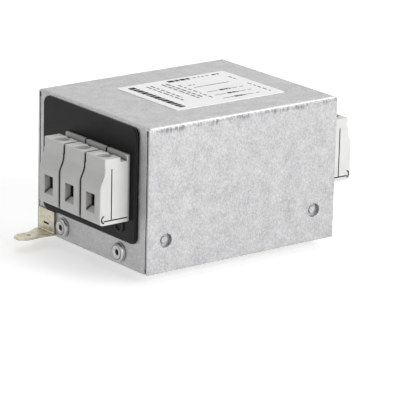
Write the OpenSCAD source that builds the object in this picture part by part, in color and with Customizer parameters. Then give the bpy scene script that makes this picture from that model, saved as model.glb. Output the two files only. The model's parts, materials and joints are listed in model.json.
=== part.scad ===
// Three-phase EMI line filter in a folded steel housing, with screw terminals at both ends
// and a spring clip underneath for a 35 mm rail.
// Frame: the rail lies along X and its top faces touch z = 0. The supply side faces -Y, +Z is up.

/* [Housing] */
// Width of the steel housing, along the rail
body_w = 62; // [58:0.5:80]
// Length of the steel housing, from the supply side to the load side
body_l = 78; // [76:0.5:110]
// Height of the steel housing
body_h = 49; // [47:0.5:70]
// Thickness of the cover's sheet
sheet_t = 0.8; // [0.6:0.1:1.2]
// Outer radius of the cover's folds
fold_r = 1.1; // [1:0.1:2.5]
// Width of the open seam between two walls of the cover
seam_w = 0.5; // [0.3:0.05:0.7]
// Width of the relief notch at each end of a seam
notch_w = 0.9; // [0.7:0.1:1.2]
// Length of the relief notch at each end of a seam
notch_h = 1.8; // [1:0.1:3]

/* [Base plate] */
// Thickness of the base plate
base_t = 1; // [0.8:0.1:1.5]
// Height of the base plate's end flanges
end_flange_h = 7.8; // [7:0.1:8.5]
// Height of the base plate's side flanges
side_flange_h = 15; // [14:0.5:25]
// Gap between the base plate's flanges and the cover
tray_gap = 0.1; // [0.05:0.05:0.2]
// Outer radius of the base plate's folds
base_fold_r = 1.6; // [1.5:0.1:2]

/* [Clinches and rivets] */
// Distance of the supply side's clinches from that end of the housing
clinch_inset_line = 7.4; // [7:0.1:12]
// Distance of the load side's clinches from that end of the housing
clinch_inset_load = 8.6; // [7:0.1:12]
// Height of the clinches above the housing's underside
clinch_z = 10.7; // [9:0.1:11]
// Radius of a clinch pocket
clinch_r = 2.4; // [1.8:0.1:2.8]
// Distance of the end rivets from the middle of the housing
rivet_x = 16; // [10:0.5:18]
// Height of the end rivets above the housing's underside
rivet_z = 4.3; // [4:0.1:4.5]
// Radius of a blind rivet's shank
rivet_r = 1.6; // [1.5:0.1:1.7]
// Radius of a blind rivet's head
rivet_head_r = 3.3; // [3:0.1:3.6]
// Height of a blind rivet's head
rivet_head_h = 1.5; // [1.2:0.1:1.8]

/* [End panels] */
// Steel left of the panels, seen from the supply side
panel_left = 4.2; // [3.6:0.1:5]
// Steel right of the panels, seen from the supply side
panel_right = 5.4; // [3.6:0.1:5.6]
// Steel left below a panel
panel_low = 8.8; // [8:0.1:9.6]
// Radius of a panel's corners
panel_r = 2.8; // [2:0.1:4]
// How far a panel stands proud of the steel
panel_t = 1.2; // [1:0.1:2]
// Bevel round a panel's outer edge
panel_bevel = 0.5; // [0.2:0.1:0.8]
// Steel left above a panel
panel_top = 1; // [0.9:0.1:2]
// Overlap of the rim over the cover's cut-out
rim_overlap = 1.8; // [1.4:0.1:2.2]
// How far a panel's collar reaches behind the steel
collar_t = 1.2; // [1:0.1:1.6]
// Gap between a moulded piece and its opening
moulded_gap = 0.15; // [0.1:0.05:0.2]

/* [Terminals] */
// Width of one terminal
terminal_w = 10.8; // [10.4:0.1:11.2]
// Distance between neighbouring terminals
terminal_pitch = 11.7; // [11.6:0.05:12]
// Height of a terminal
terminal_h = 21.9; // [20.5:0.1:23]
// Height of the terminals above the housing's underside
terminal_z = 16.6; // [16:0.1:17]
// Reach of a terminal's lower part beyond the panel
lower_reach = 11.7; // [11.2:0.1:13]
// Reach of a terminal's upper part beyond the panel
upper_reach = 9.9; // [9.6:0.1:10.4]
// Sideways offset of the supply terminals
line_offset = 5.4; // [0:0.1:6]
// Sideways offset of the load terminals
load_offset = 7.1; // [0:0.1:8]
// Rounding of a terminal's outer edges
terminal_r = 0.5; // [0.2:0.1:0.8]
// Width of the marker groove across a terminal's top
marker_w = 2.6; // [2:0.1:2.8]
// Depth of the marker groove
marker_h = 1.5; // [1:0.1:2]
// Thickness of the lip behind the marker groove
lip_t = 1.3; // [1:0.1:1.5]
// Radius of the screwdriver hole
driver_r = 2.6; // [2.5:0.1:2.7]
// Width of a wire entry
entry_w = 4.8; // [4.6:0.1:5.2]
// Height of a wire entry at its mouth
entry_h = 6.4; // [6:0.1:6.6]
// Height of a wire entry at its throat
throat_h = 4.7; // [4.6:0.1:4.9]

/* [Clamps] */
// Width of a clamp body
clamp_w = 8; // [7.6:0.1:8.4]
// Length of a clamp body
clamp_l = 9.1; // [8.8:0.1:9.2]
// Wall of a clamp body
clamp_wall = 1; // [0.8:0.1:1.2]
// Threaded length above the wire space
thread_l = 4.6; // [4:0.1:5]
// Radius of the clamp screw's thread
screw_r = 2; // [1.8:0.1:2.1]
// Distance from the panel to the clamp screw
screw_d = 6.6; // [6.4:0.1:6.7]
// Width of a current bar
bar_w = 4.6; // [4:0.1:5]
// Thickness of a current bar
bar_t = 1; // [0.8:0.1:1.2]
// Height of the wire space above the bar
wire_h = 5.4; // [5:0.1:6]

/* [Earth tab] */
// Thickness of the earth tab
tab_t = 0.8; // [0.6:0.1:1]
// Width of the tab's upright plate
tab_w = 8.9; // [8:0.1:10]
// Height of the tab's upper edge above the housing's underside
tab_h = 8.5; // [7.5:0.1:8.6]
// Width of the push-on blade
blade_w = 6.3; // [4.8:0.1:6.3]
// Reach of the blade beyond the steel
blade_reach = 13.6; // [11:0.1:15]
// Distance of the tab's left edge from the side of the housing
tab_inset = 1.7; // [1:0.1:3]

/* [Label] */
// Width of the label
label_w = 34; // [20:1:50]
// Length of the label
label_l = 45.3; // [30:0.1:60]
// Sideways place of the label's middle
label_x = 0.4; // [-3:0.1:3]
// Distance of the label's middle from the middle of the roof, towards the load side
label_y = 5; // [-5:0.1:5]
// Thickness of the label
label_t = 0.15; // [0.1:0.05:0.3]

/* [Rail clip] */
// Width of the rail
rail_w = 35; // [35:0.5:36]
// Thickness of the rail's flanges
rail_t = 1; // [0.8:0.1:1.5]
// Gap between the clip and the rail
rail_gap = 0.3; // [0.2:0.05:0.4]
// Thickness of the spring steel
clip_t = 1.2; // [1:0.1:1.4]
// Width of the clip
clip_w = 26; // [22:1:34]
// Width of the spring tongue
tongue_w = 12; // [8:1:12]
// Length of the tongue's two slots
tongue_l = 13; // [9:0.5:14]
// Reach of a hook under the rail
hook_l = 2.6; // [2:0.1:3.5]

/* [Circuit board] */
// Thickness of the board
board_t = 1.6; // [1.2:0.1:2]
// Height of the board's standoffs
standoff_h = 7.2; // [7:0.1:8]
// Distance from the board to the cover's walls
board_inset = 2.2; // [2:0.1:3]
// Distance from the panels' steel to the bars' tails
tail_inset = 7.5; // [7:0.1:8]

/* [Capacitors] */
// Height of a box capacitor
cap_h = 14; // [10:0.5:16]
// Gap between neighbouring box capacitors
cap_gap = 0.6; // [0.4:0.1:1.5]
// Radius of a disc capacitor
disc_cap_r = 4; // [3:0.1:4.5]
// Thickness of a disc capacitor
disc_cap_t = 3.2; // [2.4:0.1:3.4]
// Radius of a discharge resistor
resistor_r = 1.5; // [1:0.1:1.8]
// Length of a discharge resistor's body
resistor_l = 7; // [5:0.1:8]
// Distance between neighbouring small parts along the board's edges
small_pitch = 11; // [10.4:0.1:12]

/* [Choke] */
// Outer radius of the ring core
core_r = 19; // [17:0.1:19]
// Radius of the hole in the ring core
core_hole_r = 9.5; // [9.4:0.1:11]
// Height of the ring core
core_h = 20; // [14:0.5:20]
// Radius of the winding wire
wire_r = 0.8; // [0.6:0.05:0.85]
// Turns in each winding
turns = 7; // [4:1:7]

/* [Hidden] */
PHASES = [1, 2, 3];

$fn = 48;
through = 1;            // how far a cutting shape runs past the surface that it opens

// Heights
floor_z = clip_t;                          // underside of the housing
roof_z = floor_z + body_h;                 // top of the housing
base_top = floor_z + base_t;
board_z = base_top + standoff_h;           // underside of the circuit board
board_top = board_z + board_t;
panel_z0 = floor_z + panel_low;            // lower edge of a panel
panel_z1 = roof_z - panel_top;
panel_mid = (panel_z0 + panel_z1) / 2;
panel_w = body_w - panel_left - panel_right;
panel_x = (panel_left - panel_right) / 2;
panel_h = panel_z1 - panel_z0;

// Clinches and rivets
button_r = clinch_r - 1.2;                 // raised button in a clinch's floor
cup_t = 0.45;           // wall of a clinch, drawn down through the base plate
cup_lock = 0.3;         // how far a clinch reaches past the base plate
button_h = 0.5;
hole_play = 0.05;       // gap round the clinches, shanks and spigots
rivet_set_h = 3.4;      // set end of a blind rivet

// Terminals, with z in the part's frame and d counted outwards from the panel's face
clamp_floor_t = 3.1;                       // moulding below a clamp
mouth_drop = 1.5;                          // a wire entry's mouth starts this far below the bar's top
front_step = [11.7, 17.6];                 // the front steps back between these heights on a terminal
latch_drop = 4.4;                          // from a terminal's top down to its latch
term_z0 = floor_z + terminal_z;
term_z1 = term_z0 + terminal_h;
clamp_z0 = term_z0 + clamp_floor_t;
bar_z0 = clamp_z0 + clamp_wall;
bar_z1 = bar_z0 + bar_t;
wire_z1 = bar_z1 + wire_h;
clamp_z1 = wire_z1 + thread_l;
clamp_d0 = 0.3;
clamp_d1 = clamp_d0 + clamp_l;
wire_d0 = clamp_d0 + 2.5;                  // blind end of the wire space
throat_z0 = bar_z1 + 0.1;                  // floor of a wire entry at its throat and at its mouth
mouth_z0 = bar_z1 - mouth_drop;
step_z0 = term_z0 + front_step[0];
step_z1 = term_z0 + front_step[1];
lip_h = 0.4;                               // the lip stands this far above the terminal's top
slit_d = [6.4, 7.2];                       // mould slits in a terminal's left and right side
foot_r = 1.2;                              // rounding of the front's lower and upper edge
brow_r = 0.4;
slit_w = 0.4;
slit_depth = 0.8;
slit_z = term_z0 + 1.2;
slit_h = 17.4;
foot_slit_l = 9.4;
catch_d = 9.75;                            // curved catch near the front edge
catch_r = 1.5;
latch_z = term_z1 - latch_drop;            // tongue that holds a terminal in its panel
latch_w = 5;
latch_t = 1.4;
latch_catch = 0.6;
latch_nose = 1.3;
disc_r = 2.6;                              // moulded ring on the panel under each terminal
disc_h = 0.35;
disc_wall = 0.85;
disc_root = 0.2;
cut_w = panel_w - 2 * rim_overlap;         // cut-out in the steel behind a panel
cut_h = panel_h - 2 * rim_overlap;
cut_r = 1.6;
collar_d = panel_t + sheet_t + collar_t;   // inner end of a panel's collar
tail_d = -(panel_t + tail_inset);          // where the bars turn down to the board
tail_w = 2.6;
tail_l = 1.2;                              // a tail's length below the board

// Screws
head_r = driver_r - 0.2;
head_h = 2.2;
slot_w = 0.8;
slot_h = 1.2;
cross_l = 2.6;          // short arm of the cross in a screw's slot

// Circuit board
board_w = body_w - 2 * (sheet_t + board_inset);
board_l = body_l - 2 * (sheet_t + board_inset) - 4;

// Choke
choke_base_t = 1.6;
rib_t = 1.2;
coil_gap = 0.2;
core_z0 = board_top + choke_base_t + 2 * wire_r + 2 * coil_gap;
core_z1 = core_z0 + core_h;
turn_step = 15;

// Box capacitors, between the bars' tails and the choke
cap_gap_choke = 1;
cap_y1 = body_l / 2 - tail_inset - bar_t - 0.9;
cap_l = cap_y1 - core_r - coil_gap - 2 * wire_r - cap_gap_choke;
cap_y = cap_y1 - cap_l / 2;
cap_pitch = (board_w - 2) / 3;
cap_foot_h = 0.8;
lead_r = 0.35;          // lead of a small part
lead_rise = 1.4;        // a disc capacitor's height above the board
lead_spread = 2.5;
edge_gap = 1;           // small parts' distance from the board's edge

// Standoffs and their screws
post_x = board_w / 2 - 2.5;
post_screw_r = 2.6;
post_head_h = 1.8;
post_slot_l = 3.2;
post_slot_w = 0.7;
post_y = cap_y - cap_l / 2 - post_screw_r - 0.2;
post_r = 2.9;
post_hole_r = 1.5;
paper_t = 0.4;          // insulating sheet
paper_gap = 0.3;        // its distance from the posts and rivets that it is cut out for

// Clip
hook_z = -(rail_t + rail_gap);             // upper face of a hook
hook_y = rail_w / 2 + rail_gap + clip_t / 2;
clip_bend = (clip_t - hook_z) / 2 - 0.01;  // the two bends of a hook just meet
clip_rivet_x = (clip_w + tongue_w) / 4 + 0.5;
clip_rivet_r = 1.6;
clip_rivet_head_r = clip_rivet_r + 1.3;

// ---- helpers ----

function arc(c, r, a0, a1, n) = [for (i = [0:n]) let (a = a0 + (a1 - a0) * i / n) c + r * [cos(a), sin(a)]];

function unit(v) = v / norm(v);

function left_of(v) = unit([-v.y, v.x]);

// One side of a bent strip: the path p, with bends of radius r, set off by e to its left
function strip_side(p, r, e) = let (m = len(p) - 1) [
  p[0] + e * left_of(p[1] - p[0]),
  for (i = [1:m - 1])
    let (a = unit(p[i - 1] - p[i]), b = unit(p[i + 1] - p[i]),
         half = acos(a * b) / 2, turn = sign(b.x * a.y - b.y * a.x),
         c = p[i] + unit(a + b) * r / sin(half), from = p[i] + a * r / tan(half) - c,
         a0 = atan2(from.y, from.x))
      each arc(c, r - turn * e, a0, a0 + turn * (180 - 2 * half), 6),
  p[m] + e * left_of(p[m] - p[m - 1])
];

// Outline of a strip of thickness t, bent along a path with bends of radius r
function strip(p, t, r) =
  let (left = strip_side(p, r, t / 2), right = strip_side(p, r, -t / 2), n = len(right) - 1)
    concat(left, [for (i = [n:-1:0]) right[i]]);

// A bent strip: the path is in (d, z), the width along x
module bent_strip(path, t, w, r) {
  rotate([90, 0, -90]) linear_extrude(w, center = true) polygon(strip(path, t, r));
}

module rounded_rect(w, h, r) {
  square([w - 2 * r, h], center = true);
  square([w, h - 2 * r], center = true);
  for (x = [-1, 1], y = [-1, 1]) translate([x * (w / 2 - r), y * (h / 2 - r)]) circle(r);
}

// A standing wall outline with its two upper corners rounded
module arch(w, h, r) {
  translate([-w / 2, 0]) square([w, h - r]);
  translate([r - w / 2, 0]) square([w - 2 * r, h]);
  for (x = [-1, 1]) translate([x * (w / 2 - r), h - r]) circle(r);
}

module folded_block(w, l, h, r) {
  intersection() {
    rotate([90, 0, 0]) linear_extrude(l, center = true) arch(w, h, r);
    rotate([90, 0, 90]) linear_extrude(w, center = true) arch(l, h, r);
  }
}

// A sheet folded down on all four sides, open below
module folded_sheet(w, l, h, t, r) {
  difference() {
    folded_block(w, l, h, r);
    translate([0, 0, -through]) folded_block(w - 2 * t, l - 2 * t, h - t + through, r - t);
  }
}

// A round hole through a plate of thickness t whose underside is at z
module plate_hole(z, t, r) {
  translate([0, 0, z - through]) cylinder(h = t + 2 * through, r = r);
}

// Something upright on the front wall, drawn as an outline seen from the front
module on_wall(y, depth) {
  translate([0, y, 0]) rotate([90, 0, 0]) linear_extrude(depth) children();
}

// Sideways places of the terminals at each end
function line_x(i) = line_offset + (i - 2) * terminal_pitch;
function load_x(i) = load_offset + (i - 2) * terminal_pitch;

module at_line(i) {
  translate([line_x(i), -body_l / 2 - panel_t, 0]) children();
}

// The load side's terminals are the same mouldings, turned round
module at_load(i) {
  rotate([0, 0, 180]) translate([-load_x(i), -body_l / 2 - panel_t, 0]) children();
}

// ---- housing ----

module cover() {
  color("lightgray") difference() {
    union() {
      translate([0, 0, floor_z]) folded_sheet(body_w, body_l, body_h, sheet_t, fold_r);
      at_clinches() cylinder(h = sheet_t + tray_gap + base_t + cup_lock, r = clinch_r + cup_t);
    }
    at_clinches() clinch_pocket();
    for (side = [1, -1]) scale([1, side, 1]) {
      on_wall(-body_l / 2 + 2 * sheet_t, 2 * sheet_t + through)
        translate([panel_x, panel_mid]) rounded_rect(cut_w, cut_h, cut_r);
      corner_seams();
      at_end_rivets() cylinder(h = 2 * sheet_t + through, r = rivet_r + hole_play, center = true);
    }
  }
}

// Open seams at both ends of the front wall, each with a relief notch at its top and bottom
module corner_seams() {
  top = roof_z - sheet_t - 0.1;
  for (x = [-1, 1]) on_wall(-body_l / 2 + sheet_t + 0.01, sheet_t + through)
    translate([x * (body_w / 2 - sheet_t - seam_w / 2), 0]) {
      translate([-seam_w / 2, floor_z - through]) square([seam_w, top - floor_z + through]);
      translate([-notch_w / 2, top - notch_h]) square([notch_w, notch_h]);
      translate([-notch_w / 2, floor_z - through]) square([notch_w, notch_h + through]);
    }
}

// Places a shape at the four clinches, z pointing into the housing
module at_clinches() {
  for (x = [-1, 1], y = [clinch_inset_line - body_l / 2, body_l / 2 - clinch_inset_load])
    translate([x * body_w / 2, y, floor_z + clinch_z]) rotate([0, -90 * x, 0]) children();
}

// A round pocket with a raised button in its floor
module clinch_pocket() {
  depth = sheet_t + base_t / 2;
  difference() {
    translate([0, 0, -through]) cylinder(h = depth + through, r = clinch_r);
    translate([0, 0, depth - button_h]) cylinder(h = 2 * button_h, r1 = button_r, r2 = button_r + 0.3);
  }
}

module at_end_rivets() {
  for (x = [-1, 1]) translate([x * rivet_x, -body_l / 2, floor_z + rivet_z]) rotate([90, 0, 0]) children();
}

module base_plate() {
  w = body_w - 2 * (sheet_t + tray_gap);
  l = body_l - 2 * (sheet_t + tray_gap);
  corner = base_t + 0.6;                   // the corners are cut away this far
  color("silver") difference() {
    translate([0, 0, floor_z + side_flange_h]) mirror([0, 0, 1])
      folded_sheet(w, l, side_flange_h, base_t, base_fold_r);
    for (x = [-1, 1], y = [-1, 1])
      translate([x * w / 2, y * l / 2, floor_z + base_fold_r + side_flange_h / 2])
        cube([2 * corner, 2 * corner, side_flange_h], center = true);
    for (y = [-1, 1]) translate([0, y * l / 2, floor_z + end_flange_h + side_flange_h / 2])
      cube([w - 2 * base_t - 0.1, 4 * base_t, side_flange_h], center = true);
    at_clinches() cylinder(h = 4 * base_t, r = clinch_r + cup_t + hole_play);
    for (side = [1, -1]) scale([1, side, 1])
      at_end_rivets() cylinder(h = 8 * base_t, r = rivet_r + hole_play, center = true);
    at_clip_rivets() plate_hole(floor_z, base_t, clip_rivet_r + hole_play);
    at_posts() plate_hole(floor_z, base_t, post_hole_r + hole_play);
  }
}

// ---- end panels ----

module panel(places) {
  face = [panel_w, panel_h] - 2 * panel_bevel * [1, 1];
  ring_z = term_z0 - disc_r - hole_play;
  color([0.13, 0.13, 0.14]) difference() {
    union() {
      translate([panel_x, -body_l / 2, panel_mid]) rotate([90, 0, 0]) {
        hull() {
          linear_extrude(panel_t - panel_bevel) rounded_rect(panel_w, panel_h, panel_r, $fn = 32);
          linear_extrude(panel_t) rounded_rect(face.x, face.y, panel_r - panel_bevel, $fn = 32);
        }
        translate([0, 0, panel_t - collar_d]) linear_extrude(collar_d - panel_t)
          rounded_rect(cut_w - 2 * moulded_gap, cut_h - 2 * moulded_gap, cut_r);
        for (x = [-1, 1], z = [-1, 1]) scale([x, z, 1]) panel_hook();
      }
      for (x = places) translate([x, -body_l / 2 - panel_t, ring_z]) rotate([90, 0, 0])
        difference() {
          translate([0, 0, -disc_root]) cylinder(h = disc_h + disc_root, r = disc_r);
          cylinder(h = through, r = disc_r - disc_wall);
        }
    }
    for (x = places) translate([x, -body_l / 2 - panel_t, 0]) {
      opening = [bar_w, bar_t] + 2 * moulded_gap * [1, 1];
      translate([0, collar_d / 2, (bar_z0 + bar_z1) / 2])
        cube([opening.x, collar_d + 2 * through, opening.y], center = true);
      translate([0, collar_d / 2, latch_z])
        cube([latch_w + 2 * moulded_gap, collar_d + 2 * through, latch_t + 2 * moulded_gap], center = true);
    }
  }
}

// Snap hook on the collar, behind the cover's sheet
module panel_hook() {
  d = -sheet_t - 0.1;
  w = 6;
  catch = 0.7;
  root = -0.3;
  translate([(cut_w / 2 + w) / 2, cut_h / 2 - moulded_gap, 0]) rotate([0, -90, 0]) linear_extrude(w)
    polygon([[d, root], [d, catch], [d - 0.3, catch], [panel_t - collar_d, 0], [panel_t - collar_d, root]]);
}

// ---- terminals ----

// Side outline of a terminal in (d, z)
function terminal_outline() = concat(
  [[0, term_z0]],
  arc([lower_reach - foot_r, term_z0 + foot_r], foot_r, -90, 0, 6),
  [for (i = [0:10]) let (u = i / 10, back = (1 - cos(180 * u)) / 2)
    [lower_reach + (upper_reach - lower_reach) * back, step_z0 + (step_z1 - step_z0) * u]],
  arc([upper_reach - brow_r, term_z1 - brow_r], brow_r, 0, 90, 4),
  [[lip_t + marker_w, term_z1], [lip_t + marker_w, term_z1 - marker_h], [lip_t, term_z1 - marker_h],
   [lip_t, term_z1 + lip_h], [0, term_z1 + lip_h]]
);

module terminal() {
  color([0.72, 0.72, 0.71]) difference() {
    union() {
      intersection() {
        rotate([90, 0, -90]) linear_extrude(terminal_w, center = true) polygon(terminal_outline());
        union() {
          translate([0, -lower_reach / 2, 0]) linear_extrude(step_z1 + 1) terminal_plan(lower_reach);
          translate([0, -upper_reach / 2, step_z1]) linear_extrude(term_z1) terminal_plan(upper_reach);
        }
      }
      latch();
    }
    terminal_cavity();
    scale([-1, 1, 1]) side_slits(slit_d[0]);
    side_slits(slit_d[1]);
  }
}

// Plan of a terminal with its outer upright edges rounded
module terminal_plan(reach) {
  rounded_rect(terminal_w, reach, terminal_r);
  translate([0, terminal_r]) square([terminal_w, reach - 2 * terminal_r], center = true);
  translate([-terminal_w / 2, reach / 2 - 2 * terminal_r]) square([terminal_w, 2 * terminal_r]);
}

module terminal_cavity() {
  // room for the clamp body, open towards the panel
  translate([0, -(clamp_d1 + moulded_gap - through) / 2, (clamp_z0 + clamp_z1) / 2])
    cube([clamp_w, clamp_d1 + moulded_gap + through, clamp_z1 - clamp_z0] + 2 * moulded_gap * [1, 0, 1],
         center = true);
  // screwdriver hole
  translate([0, -screw_d, clamp_z1 - through]) cylinder(h = term_z1 - clamp_z1 + 2 * through, r = driver_r);
  translate([0, -screw_d, term_z1 - 0.4]) cylinder(h = 0.4 + 0.01, r1 = driver_r, r2 = driver_r + 0.4);
  // wire entry, narrowing towards the clamp
  rotate([90, 0, -90]) linear_extrude(entry_w, center = true)
    polygon([[clamp_d1, throat_z0], [lower_reach, mouth_z0], [lower_reach + through, mouth_z0],
             [lower_reach + through, mouth_z0 + entry_h], [lower_reach, mouth_z0 + entry_h],
             [clamp_d1, throat_z0 + throat_h]]);
}

// Mould slits and the curved catch in a terminal's side
module side_slits(d) {
  translate([terminal_w / 2 - slit_depth, 0, 0]) rotate([90, 0, 90]) linear_extrude(slit_depth + through) {
    translate([-d - slit_w / 2, slit_z]) square([slit_w, slit_h]);
    translate([-foot_slit_l - 0.8, slit_z]) square([foot_slit_l, slit_w]);
    translate([-catch_d, slit_z + catch_r / 2]) intersection() {
      difference() {
        circle(catch_r);
        circle(catch_r - 0.5);
      }
      translate([-catch_r - 0.5, 0.2 - catch_r]) square([catch_r + 0.3, 2 * catch_r - 0.4]);
    }
  }
}

// Tongue that passes through the panel and hooks behind its collar
module latch() {
  low = latch_z - latch_t / 2;
  top = latch_z + latch_t / 2;
  back = -collar_d - 0.1;                  // the catch bears on the collar's inner end
  root = 1;
  rotate([90, 0, -90]) linear_extrude(latch_w, center = true)
    polygon([[root, low], [root, top], [back, top],
             [back, top + latch_catch], [back - 0.4, top + latch_catch],
             [back - latch_nose, latch_z], [back - latch_nose, low]]);
}

module clamp_body() {
  space_w = entry_w + 0.2;
  color("gray") difference() {
    translate([-clamp_w / 2, -clamp_d1, clamp_z0]) cube([clamp_w, clamp_l, clamp_z1 - clamp_z0]);
    translate([-space_w / 2, -clamp_d1 - through, bar_z0])
      cube([space_w, clamp_d1 - wire_d0 + through, wire_z1 - bar_z0]);
    translate([-bar_w / 2 - hole_play, -wire_d0 - through, bar_z0])
      cube([bar_w + 2 * hole_play, wire_d0 + 2 * through, bar_t + hole_play]);
    translate([0, -screw_d, wire_z1 - through]) cylinder(h = thread_l + 2 * through, r = screw_r);
  }
}

module clamp_screw() {
  tip = wire_z1 + 0.2;
  tip_h = 0.5;
  seat = clamp_z1 + 1;                     // the screw stands open, so its head is clear of the clamp
  color("silver") translate([0, -screw_d, 0]) difference() {
    union() {
      translate([0, 0, tip]) cylinder(h = tip_h, r1 = screw_r - tip_h, r2 = screw_r - hole_play);
      translate([0, 0, tip + tip_h]) cylinder(h = seat - tip - tip_h, r = screw_r - hole_play);
      translate([0, 0, seat]) cylinder(h = head_h, r = head_r);
    }
    translate([0, 0, seat + head_h]) {
      cube([2 * head_r + through, slot_w, 2 * slot_h], center = true);
      cube([slot_w, cross_l, 2 * slot_h], center = true);
    }
  }
}

// Current bar from the clamp through the panel, turned down to the circuit board
module current_bar() {
  mid = bar_z0 + bar_t / 2;
  end = board_z - tail_l;
  wide = board_top + 2;                    // the bar has its full width down to here
  color("burlywood") intersection() {
    bent_strip([[clamp_d1 - 0.5, mid], [tail_d, mid], [tail_d, end]], bar_t, bar_w, 1.2 * bar_t);
    union() {
      translate([-bar_w / 2, -clamp_d1, wide])
        cube([bar_w, clamp_d1 - tail_d + 2 * bar_t, bar_z1 - board_top]);
      translate([-tail_w / 2, -tail_d - 2 * bar_t, end]) cube([tail_w, 4 * bar_t, wide - end + through]);
    }
  }
}

// ---- fasteners ----

// Blind rivet along z: head above 0 with its broken-off mandrel in a round recess, set tail below
module blind_rivet() {
  grip = sheet_t + tray_gap + base_t;
  hole_r = 0.95;
  hole_depth = 1.4;
  set_r = rivet_r + 0.6;
  low = -grip - rivet_set_h;
  edge = 0.35;
  crown_r = 2.1;
  color("silver") rotate_extrude() polygon(concat(
    [[hole_r, rivet_head_h - hole_depth], [0, rivet_head_h - hole_depth], [0, low], [set_r - 0.7, low],
     [set_r, low + 0.8], [set_r, -grip - 0.6], [set_r - 0.3, -grip], [rivet_r, -grip], [rivet_r, 0],
     [rivet_head_r, 0], [rivet_head_r, edge]],
    [for (i = [0:5]) let (a = 18 * i)
      [crown_r + (rivet_head_r - 0.25 - crown_r) * cos(a), edge + (rivet_head_h - edge) * sin(a)]],
    [[hole_r + 0.45, rivet_head_h], [hole_r, rivet_head_h - 0.35]]
  ));
}

// Solid rivet along z from the underside of the clip to the top of the base plate
module clip_rivet() {
  grip = clip_t + base_t;
  r = clip_rivet_head_r;
  h = 1.1;
  color("silver") rotate_extrude() polygon(concat(
    [for (i = [6:-1:0]) [r * cos(15 * i), -h * sin(15 * i)]],
    [[clip_rivet_r, 0], [clip_rivet_r, grip]],
    [for (i = [0:6]) [r * cos(15 * i), grip + h * sin(15 * i)]]
  ));
}

module end_rivets() {
  at_end_rivets() blind_rivet();
}

module at_clip_rivets() {
  for (x = [-1, 1]) translate([x * clip_rivet_x, 0, 0]) children();
}

module clip_rivets() {
  at_clip_rivets() clip_rivet();
}

// ---- outside fittings ----

// Earth tab: an upright plate on the front wall, bent forward into a push-on blade
module earth_tab() {
  blade_z = floor_z + 0.6;
  blade_x = 0.95;                          // the blade lies this far right of the plate's middle
  blade_x0 = blade_x - blade_w / 2;
  blade_x1 = blade_x + blade_w / 2;
  shoulder = 2.4;                          // the blade narrows from here
  tip_l = 2.6;                             // its tip tapers over this length
  tip_in = 1.7;
  hole_d = 8.6;
  color("burlywood") translate([tab_inset + (tab_w - body_w) / 2, -body_l / 2, 0]) difference() {
    intersection() {
      bent_strip([[tab_t / 2, floor_z + tab_h], [tab_t / 2, blade_z], [blade_reach, blade_z]],
                 tab_t, tab_w, tab_t);
      translate([0, 0, floor_z - tab_t]) linear_extrude(tab_h + 2 * tab_t) polygon([
        [-tab_w / 2, 0], [-tab_w / 2, -shoulder], [blade_x0, -shoulder - 4],
        [blade_x0, tip_l - blade_reach], [blade_x0 + tip_in, -blade_reach],
        [blade_x1 - tip_in, -blade_reach], [blade_x1, tip_l - blade_reach],
        [blade_x1, -shoulder], [tab_w / 2, -shoulder], [tab_w / 2, 0]]);
    }
    translate([0, -tab_t / 2, floor_z + 3.7]) cube([3, tab_t + through, 0.7], center = true);
    translate([blade_x, -hole_d, blade_z]) cylinder(h = 2 * tab_t, r = 0.8, center = true);
  }
}

module label() {
  color("white") translate([label_x, label_y, roof_z]) linear_extrude(label_t)
    rounded_rect(label_w, label_l, 0.8);
}

// Spring steel clip: a plate under the base with a wide fixed hook at the load side
// and a narrow hook at the end of a spring tongue at the supply side
module rail_clip() {
  plate_l = 2 * hook_y - clip_t;
  color("gainsboro") difference() {
    union() {
      linear_extrude(clip_t) rounded_rect(clip_w, plate_l, 1.5);
      scale([1, -1, 1]) clip_hook(clip_w);
      clip_hook(tongue_w);
    }
    for (x = [-1, 1]) translate([x * (tongue_w / 2 + 0.5), -plate_l / 2, clip_t / 2])
      rounded_slot(1, tongue_l, 2 * clip_t);
    at_clip_rivets() plate_hole(0, clip_t, clip_rivet_r + hole_play);
  }
}

// Hook at the supply side: the plate's end, bent down and back under the rail's flange
module clip_hook(w) {
  mid = clip_t / 2;
  low = hook_z - clip_t / 2;
  root = 5;
  bent_strip([[hook_y - hook_l, low], [hook_y, low], [hook_y, mid], [hook_y - root, mid]],
             clip_t, w, clip_bend);
}

// A slot w wide that starts at the origin and runs l along +Y to a round end
module rounded_slot(w, l, h) {
  translate([-w / 2, -through, -h / 2]) cube([w, l + through, h]);
  translate([0, l, 0]) cylinder(h = h, r = w / 2, center = true);
}

// ---- circuit board ----

module at_posts() {
  for (x = [-1, 1], y = [-1, 1]) translate([x * post_x, y * post_y, 0]) children();
}

module circuit_board() {
  color("darkgreen") difference() {
    translate([0, 0, board_z]) linear_extrude(board_t) rounded_rect(board_w, board_l, 1.5);
    at_posts() plate_hole(board_z, board_t, post_hole_r + hole_play);
    for (i = PHASES) {
      at_line(i) tail_slot();
      at_load(i) tail_slot();
    }
  }
}

module tail_slot() {
  translate([0, -tail_d, board_z]) cube([tail_w + 0.3, bar_t + 0.3, 4 * board_t], center = true);
}

module insulating_sheet() {
  color("ivory") difference() {
    translate([0, 0, base_top]) linear_extrude(paper_t) rounded_rect(board_w - 1, board_l, 1);
    at_posts() plate_hole(base_top, paper_t, post_r + paper_gap);
    at_clip_rivets() plate_hole(base_top, paper_t, clip_rivet_head_r + paper_gap);
  }
}

// Six-sided standoffs, each set into the base plate by a spigot
module board_standoffs() {
  color("gold") at_posts() translate([0, 0, base_top]) difference() {
    union() {
      cylinder(h = standoff_h, r = post_r, $fn = 6);
      translate([0, 0, -base_t]) cylinder(h = base_t + 0.5, r = post_hole_r);
    }
    translate([0, 0, 1]) cylinder(h = standoff_h, r = post_hole_r);
  }
}

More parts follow.
